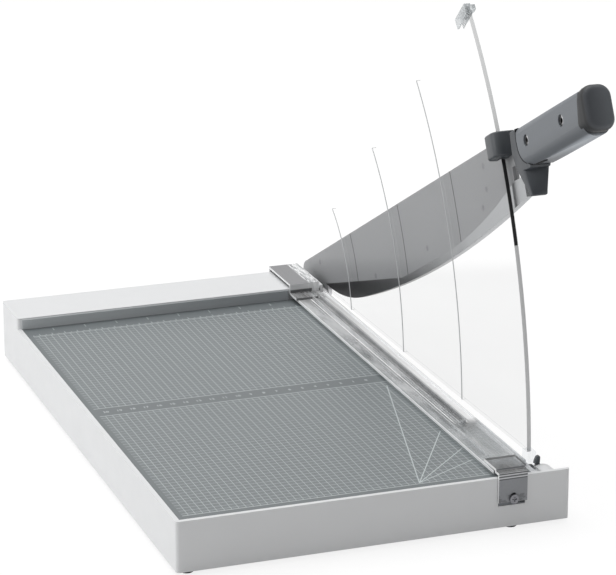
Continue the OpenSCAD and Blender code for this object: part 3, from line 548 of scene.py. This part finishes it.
def cap_plastic(name):
    """Dark soft-touch cap, with painted light making its face lighter from left to right and painted shade
    darkening its side.
    """
    t = Nodes(name)
    x, _, _ = t.axes()
    u, _ = arm_axes(t)
    speck = t.noise(2200, 2, 0.6)
    # Painted light: the face lighter from left to right
    face = t.mix(t.smooth(x, 108.0, 128.0), srgb(64, 67, 72), srgb(102, 106, 110))
    # Painted shade: the side next to the grip much darker than the face
    base = t.mix(t.smooth(u, 599.9, 597.5), face, srgb(22, 24, 27))
    base = t.mix(t.times(speck, 0.12), base, (0.02, 0.02, 0.022))
    p = t.new("BsdfPrincipled", **{"Base Color": base, "Roughness": 0.5})
    t.put(p.inputs["Normal"], t.bump(speck, 0.08))
    return t.finish(p.outputs[0])


def screw_look(name):
    """Screw head deep in its hole: shaded on the hinge side, bright on the far side."""
    t = Nodes(name)
    u, _ = arm_axes(t)
    glints = []
    for centre in HANDLE_SCREWS:
        off = t.less(u, centre)
        near = t.math("LESS_THAN", t.math("ABSOLUTE", off), 6.0)
        glints.append(t.times(near, t.smooth(off, -1.4, 2.6)))
    grain = t.noise(900, 3)
    base = t.ramp(t.most(glints), [
        (0.0, (0.006, 0.006, 0.007)), (0.22, (0.012, 0.012, 0.013)), (0.5, (0.28, 0.285, 0.29)),
        (0.75, (0.85, 0.85, 0.86)), (1.0, (0.9, 0.9, 0.9))])
    base = t.mix(t.times(grain, 0.1), base, (0.1, 0.1, 0.1))
    p = t.new("BsdfPrincipled", **{"Base Color": base, "Metallic": 0.2, "Roughness": 0.35})
    t.put(p.inputs["Normal"], t.bump(grain, 0.03))
    return t.finish(p.outputs[0])


def ground_steel(name):
    """Knife: ground bevel below the arm plate, with a painted reflection that is dark at the heel and bright
    towards its front end.
    """
    t = Nodes(name)
    u, _ = arm_axes(t)
    streak = t.noise(1.0, 2, 0.5, t.stretched((900, 500, 160)))
    # Painted reflection: dark at the heel, bright towards the front end
    tone = t.ramp(t.math("DIVIDE", u, KNIFE_LENGTH), [
        (0.00, (0.045, 0.045, 0.046)), (0.22, (0.055, 0.055, 0.057)), (0.40, (0.13, 0.13, 0.133)),
        (0.55, (0.30, 0.305, 0.31)), (0.75, (0.44, 0.45, 0.46)), (1.0, (0.44, 0.45, 0.46))])
    base = t.mix(t.times(streak, 0.06), tone, (0.25, 0.25, 0.26))
    p = t.new("BsdfPrincipled", **{"Base Color": base, "Metallic": 0.9})
    t.put(p.inputs["Roughness"], t.smooth(streak, 0.2, 0.8, 0.29, 0.33))
    t.put(p.inputs["Normal"], t.bump(streak, 0.006, 0.0001))
    return t.finish(p.outputs[0])


GREY_BODY = srgb(112, 116, 121)
DARK_BODY = srgb(66, 70, 75)

M = {
    "white": plastic("casing_white", srgb(226, 227, 228), 0.40, 0.05, 3000, 0.015),
    "table": table_print("table_printed"),
    "fence_shade": fence_face("fence_front_shaded"),
    "cover": plastic("cover_grey", srgb(190, 191, 190), 0.55, 0.12),
    "zinc_dull": metal("zinc_dull", (0.20, 0.20, 0.215), 0.3, (500, 500, 500), 0.12, 0.5),
    "zinc": metal("zinc_plated", (0.62, 0.62, 0.64), 0.32, (400, 400, 400)),
    "steel": metal("ground_edge_steel", (0.62, 0.63, 0.65), 0.24, (3000, 60, 3000)),
    "alu": metal("extruded_aluminium", (0.68, 0.69, 0.70), 0.34, (2600, 40, 2600)),
    "spring": metal("spring_steel", (0.5, 0.5, 0.5), 0.3, (900, 900, 900)),
    "brass": metal("turned_brass", (0.62, 0.47, 0.22), 0.3, (3000, 400, 400)),
    "bracket": paint("bracket_paint", srgb(70, 72, 74)),
    "rubber": rubber("foot_rubber"),
    "blade": arm_paint("arm_grey_paint"),
    "knife": ground_steel("knife_ground_steel"),
    "rivet": paint("rivet_grey", srgb(132, 133, 135)),
    "seat": plastic("seat_grey", srgb(112, 116, 120), 0.5, 0.1),
    "polymer": plastic("washer_polymer", srgb(225, 224, 218), 0.4, 0.05),
    "handle": grip_plastic("handle_grey"),
    "dark": plastic("grip_dark", DARK_BODY, 0.42, 0.10, 2200, 0.05),
    "cap": cap_plastic("grip_cap_dark"),
    "slider": plastic("slider_dark", srgb(66, 70, 74), 0.36, 0.08, 2200, 0.04),
    "seam": rubber("seam_shadow", (0.006, 0.006, 0.007)),
    "latch": plastic("latch_dark", srgb(72, 76, 80), 0.4, 0.08, 2200, 0.05),
    "stop": plastic("finger_stop_dark", srgb(62, 66, 71), 0.38, 0.08, 2200, 0.04),
    "ink": plastic("print_ink", srgb(205, 211, 212), 0.5, 0.05, 1800, 0.03),
    "bright_screw": screw_look("screw_bright"),
    "guard": guard_sheet("guard_acrylic"),
    "clamp": clamp_look("clamp_acrylic"),
    "rear_bracket": bracket_look("rear_bracket_acrylic", 99.0, srgb(140, 140, 142)),
    "front_bracket": bracket_look("front_bracket_acrylic", 112.0, srgb(146, 148, 152), (38.4, 40.4, 42.2)),
    "foot": clear("foot_acrylic", (0.97, 0.975, 0.98), srgb(200, 203, 205), 0.05, 0, 0.01, 0.06),
    "clear_part": clear("bracket_acrylic", (0.90, 0.915, 0.92), srgb(220, 223, 225), 0.35, 1, 0.08, 0.8),
}

# Material and edge rounding of each CAD node
FINISH = {
    "base_shell": ("white", 0.9), "table_plate": ("table", 0.3), "stop_rail": ("fence_shade", 0.2),
    "bottom_cover": ("cover", 0.3), "cover_screws": ("zinc", 0), "rubber_feet": ("rubber", 0.4),
    "side_rail": ("alu", 0.2), "lower_blade": ("steel", 0.1), "lower_blade_screws": ("zinc", 0),
    "pivot_bracket": ("bracket", 0.4), "pivot_bolt": ("zinc", 0.2), "pivot_nut": ("zinc", 0.2),
    "thrust_washer": ("polymer", 0), "pivot_washer": ("zinc", 0.1), "wave_spring": ("spring", 0.1),
    "clamp_seats": ("seat", 0.1), "clamp_guide_screws": ("zinc_dull", 0.1),
    "clamp_spring_front": ("spring", 0), "clamp_spring_rear": ("spring", 0), "clamp_bar": ("clamp", 0.25),
    "clamp_rear_bracket": ("rear_bracket", 0.3), "clamp_front_bracket": ("front_bracket", 0.3),
    "guard_panel": ("guard", 0.25),
    "guard_stop_clip": ("clear_part", 0.3), "guard_foot": ("foot", 0.3), "guard_screws": ("zinc", 0),
    "brake_strip": ("rubber", 0), "blade_arm": ("blade", 0.35), "knife": ("knife", 0.15),
    "knife_screws": ("rivet", 0.15), "tang_rivets": ("rivet", 0.15), "pivot_bush": ("brass", 0.2),
    "handle_left": ("handle", 0.6), "handle_right": ("handle", 0.6), "handle_cap": ("dark", 1.0),
    "handle_screws": ("bright_screw", 0.2), "handle_nuts": ("zinc", 0.2), "finger_guard": ("dark", 0.8),
    "guard_slider": ("dark", 0.6), "latch_lever": ("dark", 0.3), "latch_pin": ("zinc", 0.1),
    "latch_spring": ("spring", 0), "stop_pad": ("rubber", 0.3),
}


def soften(obj, width):
    """Rounds the edges of a shown mesh by width millimetres without touching its vertices."""
    weld = obj.modifiers.new("weld", "WELD")
    weld.merge_threshold = 0.002 * MM
    flat = obj.modifiers.new("flat", "DECIMATE")
    flat.decimate_type = "DISSOLVE"
    flat.angle_limit = math.radians(0.8)
    bevel = obj.modifiers.new("bevel", "BEVEL")
    bevel.width = width * MM
    bevel.segments = 3
    bevel.limit_method = "ANGLE"
    bevel.angle_limit = math.radians(32)
    bevel.use_clamp_overlap = True
    bevel.miter_outer = "MITER_ARC"


for name, (key, width) in FINISH.items():
    obj = NODES[name]
    obj.data.materials.clear()
    obj.data.materials.append(M[key])
    if width:
        soften(obj, width)


# ---------- pieces built here ----------

def new_piece(name, verts, faces, material, body, smooth_angle=None):
    """Mesh object from millimetre points, riding on a body."""
    mesh = bpy.data.meshes.new(name)
    mesh.from_pydata([Vector(v) * MM for v in verts], [], faces)
    mesh.validate()
    bm = bmesh.new()
    bm.from_mesh(mesh)
    bmesh.ops.recalc_face_normals(bm, faces=bm.faces)
    bm.to_mesh(mesh)
    bm.free()
    if smooth_angle:
        mesh.shade_smooth()
        mesh.set_sharp_from_angle(angle=math.radians(smooth_angle))
    obj = bpy.data.objects.new(name, mesh)
    bpy.context.scene.collection.objects.link(obj)
    mesh.materials.append(material)
    if body:
        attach(obj, body)
    return obj


def arm_point(x, u, v):
    """Point given along and across the arm, as the arm stands in the model."""
    return (x, PIVOT[1] - u * math.cos(OPEN) + v * math.sin(OPEN),
            PIVOT[2] + u * math.sin(OPEN) + v * math.cos(OPEN))


def round_ring(half_a, half_b, radius, steps=8):
    """Rounded rectangle round the origin, as points in order."""
    radius = min(radius, half_a - 0.01, half_b - 0.01)
    ring = []
    for corner, (sa, sb) in enumerate(((1, 1), (-1, 1), (-1, -1), (1, -1))):
        for k in range(steps + 1):
            turn = math.radians(90 * corner + 90 * k / steps)
            ring.append((sa * (half_a - radius) + radius * math.cos(turn),
                         sb * (half_b - radius) + radius * math.sin(turn)))
    return ring


def loft(rings):
    """Closed skin through rings of equal length."""
    n = len(rings[0])
    verts = [p for ring in rings for p in ring]
    faces = [tuple(range(n))[::-1], tuple(range(len(verts) - n, len(verts)))]
    for k in range(len(rings) - 1):
        for i in range(n):
            j = (i + 1) % n
            faces.append((k * n + i, k * n + j, (k + 1) * n + j, (k + 1) * n + i))
    return verts, faces


def cap_corner(height):
    """Rounds the lower rear corner of the cap's edge: 0 at the underside, 1 from 7 mm up."""
    return math.sqrt(1 - (1 - min(max(height, 0.0) / 7.0, 1.0)) ** 2)


def grip_cap():
    """Pillow-shaped end of the handle, rounded all the way round its face. Its edge against the grip
    is upright with the arm as drawn, so it reaches further back at the bottom."""
    mid_v, half_x, half_v, corner = 8.7, 10.3, 15.1, 8.0
    stations = [(HANDLE_END, 1.3), (HANDLE_END + 0.5, 0.5), (HANDLE_END + 1.6, 0.0), (HANDLE_END + 3.2, 0.0)]
    soft = 4.4
    straight = CAP_END - 0.5 - soft
    for k in range(10):
        turn = math.radians(10 * k)
        stations.append((straight + soft * math.sin(turn), 4.0 * (1 - math.cos(turn))))
    stations += [(CAP_END - 0.3, 5.6), (CAP_END - 0.08, 8.0), (CAP_END, 9.8)]
    rings = []
    for u, inset in stations:
        lean = 9.0 * max(0.0, 1 - (u - HANDLE_END) / 5.5)
        row = []
        for a, b in round_ring(half_x - inset, half_v - inset, max(corner - inset * 0.55, 2.0)):
            back = lean * (half_v - b) / (2 * half_v) * cap_corner(b + half_v)
            row.append(arm_point(HANDLE_MID + a, u - back, mid_v + b))
        rings.append(row)
    obj = new_piece("grip_cap", *loft(rings), M["cap"], "blade", 50)
    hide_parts("handle_cap")


def finger_stop():
    """Collar behind the grip, with a tapering stop below it whose front is a sloping scoop."""
    h = HANDLE_START
    x_left, x_right = HANDLE_MID - 8.9, HANDLE_MID + 5.6
    # Collar's outline, as (u, v) pairs
    side = [(h - 10.5, 22.4), (h + 1.6, 22.4), (h + 0.1, 14), (h + 0.8, 7.4), (h + 3.8, 1.8),
            (h + 8.9, -2.8), (h + 16, -6), (h + 15, -7.4), (h + 4, -7.0), (h - 6, -6.8), (h - 9.2, -2.3),
            (h - 12.6, 7.4)]
    middle = (h - 1.0, 6.0)
    rings = []
    for inset, x in ((0.8, x_left), (0.0, x_left + 0.8), (0.0, x_right - 0.8), (0.8, x_right)):
        ring = []
        for u, v in side:
            du, dv = u - middle[0], v - middle[1]
            k = 1 - inset / max(math.hypot(du, dv), 1)
            ring.append(arm_point(x, middle[0] + du * k, middle[1] + dv * k))
        rings.append(ring)
    verts, faces = loft(rings)
    # Stop, in slices going down: eight even steps, then three that round its foot
    slices = []
    for k in range(12):
        f = min(k / 8, 1.0)
        tuck = max(0, k - 8) * 0.35
        v = -3.0 - 21.4 * f - (0.0, 0.3, 0.5, 0.6)[max(0, k - 8)]
        back = h - 8.6 + 14.2 * f ** 1.1 + tuck
        left = x_left + 0.6 * f + tuck
        right = x_right - 2.6 * f - tuck
        front_left, front_right = h + 1.8 + 6.6 * f - tuck, h + 15.6 - 6.4 * f - tuck
        plan = [(left, back), (right, back), (right, front_right), (left, front_left)]
        slices.append([arm_point(x, u, v) for x, u in rounded(plan, (0.8, 0.8, 2.0, 1.2))])
    more_verts, more_faces = loft(slices)
    base = len(verts)
    verts += more_verts
    faces += [tuple(base + i for i in face) for face in more_faces]
    obj = new_piece("finger_stop", verts, faces, M["stop"], "blade", 42)
    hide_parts("finger_guard")


def rounded(plan, radii, steps=5):
    """Convex outline with its corners rounded."""
    out = []
    n = len(plan)
    for i in range(n):
        p, a, b = Vector(plan[i]), Vector(plan[i - 1]), Vector(plan[(i + 1) % n])
        da, db = (a - p).normalized(), (b - p).normalized()
        reach = min(radii[i], (a - p).length * 0.45, (b - p).length * 0.45)
        start, end = p + da * reach, p + db * reach
        for k in range(steps + 1):
            f = k / steps
            q = start * (1 - f) ** 2 + p * 2 * f * (1 - f) + end * f ** 2
            out.append((q.x, q.y))
    return out


def grip_seam():
    """Dark ribbon of painted shade in the gap between the collar and the grip, following the grip's rear
    outline.
    """
    h = HANDLE_START
    path = [(h + 1.7, 22.0), (h + 0.3, 14), (h + 0.9, 7.5), (h + 2.2, 4.4), (h + 4, 2), (h + 6.2, -0.5),
            (h + 9, -2.6), (h + 12.4, -4.4), (h + 16, -5.6), (h + 24, -6.2), (h + 33, -6.5)]
    half_w, r_low, v_low = 9.8, 8.5, -7.8
    rings = []
    for k, (u, v) in enumerate(path):
        before, after = Vector(path[max(k - 1, 0)]), Vector(path[min(k + 1, len(path) - 1)])
        side = (after - before).normalized().orthogonal() * 0.42
        drop = max(0.0, v_low + r_low - v)
        reach = half_w - r_low + math.sqrt(max(r_low ** 2 - drop ** 2, 0.0)) + 0.12
        outer, inner = HANDLE_MID - reach, HANDLE_MID - reach + 2.0
        rings.append([arm_point(x, u + s * side.x, v + s * side.y)
                      for x, s in ((outer, 1), (outer, -1), (inner, -1), (inner, 1))])
    new_piece("grip_seam", *loft(rings), M["seam"], "blade", 40)


def block(name, lo, hi):
    """Plain cutter between two corners given as (x, u, v); it is used up by carve()."""
    verts = [arm_point(x, u, v) for u in (lo[1], hi[1]) for v in (lo[2], hi[2]) for x in (lo[0], hi[0])]
    faces = [(0, 1, 3, 2), (4, 6, 7, 5), (0, 4, 5, 1), (2, 3, 7, 6), (0, 2, 6, 4), (1, 5, 7, 3)]
    return new_piece(name, verts, faces, M["slider"], None)


def evaluated_mesh(obj):
    """Mesh of an object with its modifiers, or its curve, worked out."""
    bpy.context.view_layer.update()
    return bpy.data.meshes.new_from_object(obj.evaluated_get(bpy.context.evaluated_depsgraph_get()))


def carve(obj, cutters):
    """Cuts the cutters out of an object's mesh and removes them."""
    for cutter in cutters:
        cut = obj.modifiers.new("cut", "BOOLEAN")
        cut.operation, cut.solver, cut.object = "DIFFERENCE", "EXACT", cutter
    result = evaluated_mesh(obj)
    obj.modifiers.clear()
    obj.data = result
    result.shade_smooth()
    result.set_sharp_from_angle(angle=math.radians(38))
    for cutter in cutters:
        bpy.data.objects.remove(cutter)


def edge_slider():
    """Block that runs on the guard's curved edge, with a well rounded left side."""
    lo, hi = (SLIDER_LO[0], 436.0, 10.5), (SLIDER_HI[0], 455.0, 27.8)
    rings = []
    soft = 1.6
    for k in range(13):
        if k <= 6:
            turn = math.radians(15 * k)
            v, inset = lo[2] + soft * (1 - math.cos(turn)), soft * (1 - math.sin(turn))
        else:
            turn = math.radians(15 * (12 - k))
            v, inset = hi[2] - soft * (1 - math.cos(turn)), soft * (1 - math.sin(turn))
        plan = [(lo[0] + inset, lo[1] + inset), (hi[0] - inset, lo[1] + inset),
                (hi[0] - inset, hi[1] - inset), (lo[0] + inset, hi[1] - inset)]
        rings.append([arm_point(x, u, v) for x, u in rounded(plan, (5.0, 1.2, 1.2, 6.0), 8)])
    obj = new_piece("edge_slider", *loft(rings), M["slider"], "blade", 38)
    slot = block("slot_cutter", (GUARD_LO[0] - 0.35, 430, 5), (GUARD_HI[0] + 0.35, 443.1, 35))
    groove = block("groove_cutter", (ARM_LO[0] - 0.05, 430, 5), (ARM_HI[0] + 0.05, 460, 25.05))
    carve(obj, [slot, groove])
    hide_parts("guard_slider")


def latch_tab():
    """Latch lever: tapered, rounded at the top and leaning away from the blade. It is cut in on its
    blade side, low down, so that it clears the stop pad when it tips."""
    x0, _, z0 = LATCH_PIN
    y0, y1 = LATCH_LO[1], LATCH_HI[1]
    side = [(-2.0, 1.9), (-2.3, 3.6), (-2.4, 5.2), (-3.85, 5.9), (-3.2, 8.4), (-2.5, 9.9), (-2.0, 10.6),
            (-1.4, 11.0), (-0.8, 11.1), (-0.2, 11.0), (0.3, 10.6), (0.5, 9.8), (0.2, 6.0), (0.9, 3.6),
            (2.0, 1.9), (2.7, 0.0), (1.9, -2.0), (0.0, -2.7), (-1.9, -2.0), (-2.7, 0.0)]
    slim = ((0.0, 0.90), (0.25, 0.97), (0.6, 1.0))
    sections = [(y0 + depth, k) for depth, k in slim] + [(y1 - depth, k) for depth, k in reversed(slim)]
    rings = []
    for y, k in sections:
        rings.append([(x0 - 1.2 + (x + 1.2) * k, y, z0 + 4.2 + (z - 4.2) * (0.5 + 0.5 * k)) for x, z in side])
    obj = new_piece("latch_tab", *loft(rings), M["latch"], "latch", 40)
    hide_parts("latch_lever")


def digit_mesh(text):
    curve = bpy.data.curves.new("digit", "FONT")
    curve.body = text
    curve.size = NUMBER_SIZE * MM
    curve.align_x, curve.align_y = "CENTER", "CENTER"
    curve.extrude = 0.02 * MM
    curve.resolution_u = 3
    temp = bpy.data.objects.new("digit", curve)
    bpy.context.scene.collection.objects.link(temp)
    mesh = evaluated_mesh(temp)
    bpy.data.objects.remove(temp)
    bpy.data.curves.remove(curve)
    return mesh


def numerals():
    """Centimetre numbers printed on the plain strip across the table, as thin raised ink."""
    row_y = sum(RULER_STRIP) / 2 - 0.3
    joined = bmesh.new()
    for k in range(NUMBER_COUNT):
        mesh = digit_mesh(str(NUMBER_COUNT - 1 - k))
        place = Vector((TABLE_LO[0] + 10.8 + NUMBER_PITCH * k, row_y, TABLE_HI[2] + 0.01)) * MM
        mesh.transform(Matrix.Translation(place))
        joined.from_mesh(mesh)
        bpy.data.meshes.remove(mesh)
    bmesh.ops.remove_doubles(joined, verts=joined.verts, dist=0.0005 * MM)
    mesh = bpy.data.meshes.new("table_numbers")
    joined.to_mesh(mesh)
    joined.free()
    obj = bpy.data.objects.new("table_numbers", mesh)
    bpy.context.scene.collection.objects.link(obj)
    mesh.materials.append(M["ink"])
    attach(obj, "base")


grip_cap()
finger_stop()
grip_seam()
edge_slider()
latch_tab()
numerals()


# ---------- stage, light, camera ----------

# Brightness that the floor adds where the camera or a reflection sees it
FLOOR_GLOW = 0.84
# Share of the light that the floor throws back onto the cutter
FLOOR_BOUNCE = 0.72
# Darkest and brightest level of the dome
DOME = (0.13, 0.86)
CAMERA_PLACE = (-0.6469, -1.87314, 0.7620)
# Camera's pitch above straight down, roll and heading, in degrees
CAMERA_TURN = (72.146, 0.10, -19.676)
CAMERA_LENS, CAMERA_SENSOR = 170.1, 36


def floor():
    """Pale matt floor that reads white to the camera and dimmer to the light it bounces."""
    t = Nodes("floor_pale")
    grain = t.noise(40, 3)
    base = t.mix(grain, (0.15, 0.15, 0.15), (0.17, 0.17, 0.17))
    p = t.new("BsdfPrincipled", **{"Base Color": base, "Roughness": 0.9})
    path = t.new("LightPath")
    seen = t.math("MAXIMUM", path.outputs["Is Camera Ray"], path.outputs["Is Glossy Ray"])
    glow = t.new("Emission", Color=(1, 1, 1, 1), Strength=t.times(seen, FLOOR_GLOW))
    add = t.new("AddShader")
    t.put(add.inputs[0], p.outputs[0])
    t.put(add.inputs[1], glow.outputs[0])
    dim = t.new("BsdfDiffuse", Color=(FLOOR_BOUNCE, FLOOR_BOUNCE, FLOOR_BOUNCE, 1))
    mat = t.finish(t.over(dim.outputs[0], add.outputs[0], seen))
    mesh = bpy.data.meshes.new("floor")
    reach = 30
    corners = [(-reach, -reach, 0), (reach, -reach, 0), (reach, reach, 0), (-reach, reach, 0)]
    mesh.from_pydata(corners, [], [(0, 1, 2, 3)])
    obj = bpy.data.objects.new("floor", mesh)
    bpy.context.scene.collection.objects.link(obj)
    mesh.materials.append(mat)


def area(name, place, target, size, power):
    """Square soft light of one side length in metres and a power in watts."""
    light = bpy.data.lights.new(name, "AREA")
    light.shape = "RECTANGLE"
    light.size = light.size_y = size
    light.energy = power
    obj = bpy.data.objects.new(name, light)
    bpy.context.scene.collection.objects.link(obj)
    obj.location = place
    obj.rotation_euler = (Vector(target) - Vector(place)).to_track_quat("-Z", "Y").to_euler()


def studio():
    """World light, three soft lights and the camera."""
    scene = bpy.context.scene
    world = bpy.data.worlds.new("studio")
    scene.world = world
    world.use_nodes = True
    tree = world.node_tree
    back = tree.nodes["Background"]
    # A soft dome that is bright behind and to the left, and dim on the operator's side
    coord = tree.nodes.new("ShaderNodeTexCoord")
    turn = tree.nodes.new("ShaderNodeVectorMath")
    turn.operation = "DOT_PRODUCT"
    turn.inputs[1].default_value = (-0.55, 0.62, 0.56)
    tree.links.new(coord.outputs["Generated"], turn.inputs[0])
    level = tree.nodes.new("ShaderNodeMapRange")
    for i, value in enumerate((-0.6, 0.9, *DOME)):
        level.inputs[i + 1].default_value = value
    tree.links.new(turn.outputs["Value"], level.inputs[0])
    tree.links.new(level.outputs[0], back.inputs[1])
    back.inputs[0].default_value = (1, 1, 1, 1)
    middle = (0, 0, 0.1)
    area("key_left", (-2.1, 0.5, 1.0), middle, 1.6, 11.4)
    area("top", (-0.2, 0.7, 2.2), middle, 2.0, 24)
    area("front_fill", (0.4, -2.4, 0.9), middle, 1.2, 2.5)
    scene.view_settings.view_transform = "Standard"
    scene.view_settings.look = "None"

    camera = bpy.data.cameras.new("camera")
    obj = bpy.data.objects.new("camera", camera)
    scene.collection.objects.link(obj)
    camera.sensor_width = CAMERA_SENSOR
    camera.lens = CAMERA_LENS
    obj.location = CAMERA_PLACE
    obj.rotation_euler = [math.radians(turn) for turn in CAMERA_TURN]
    camera.clip_start, camera.clip_end = 0.05, 60
    scene.camera = obj


floor()
studio()
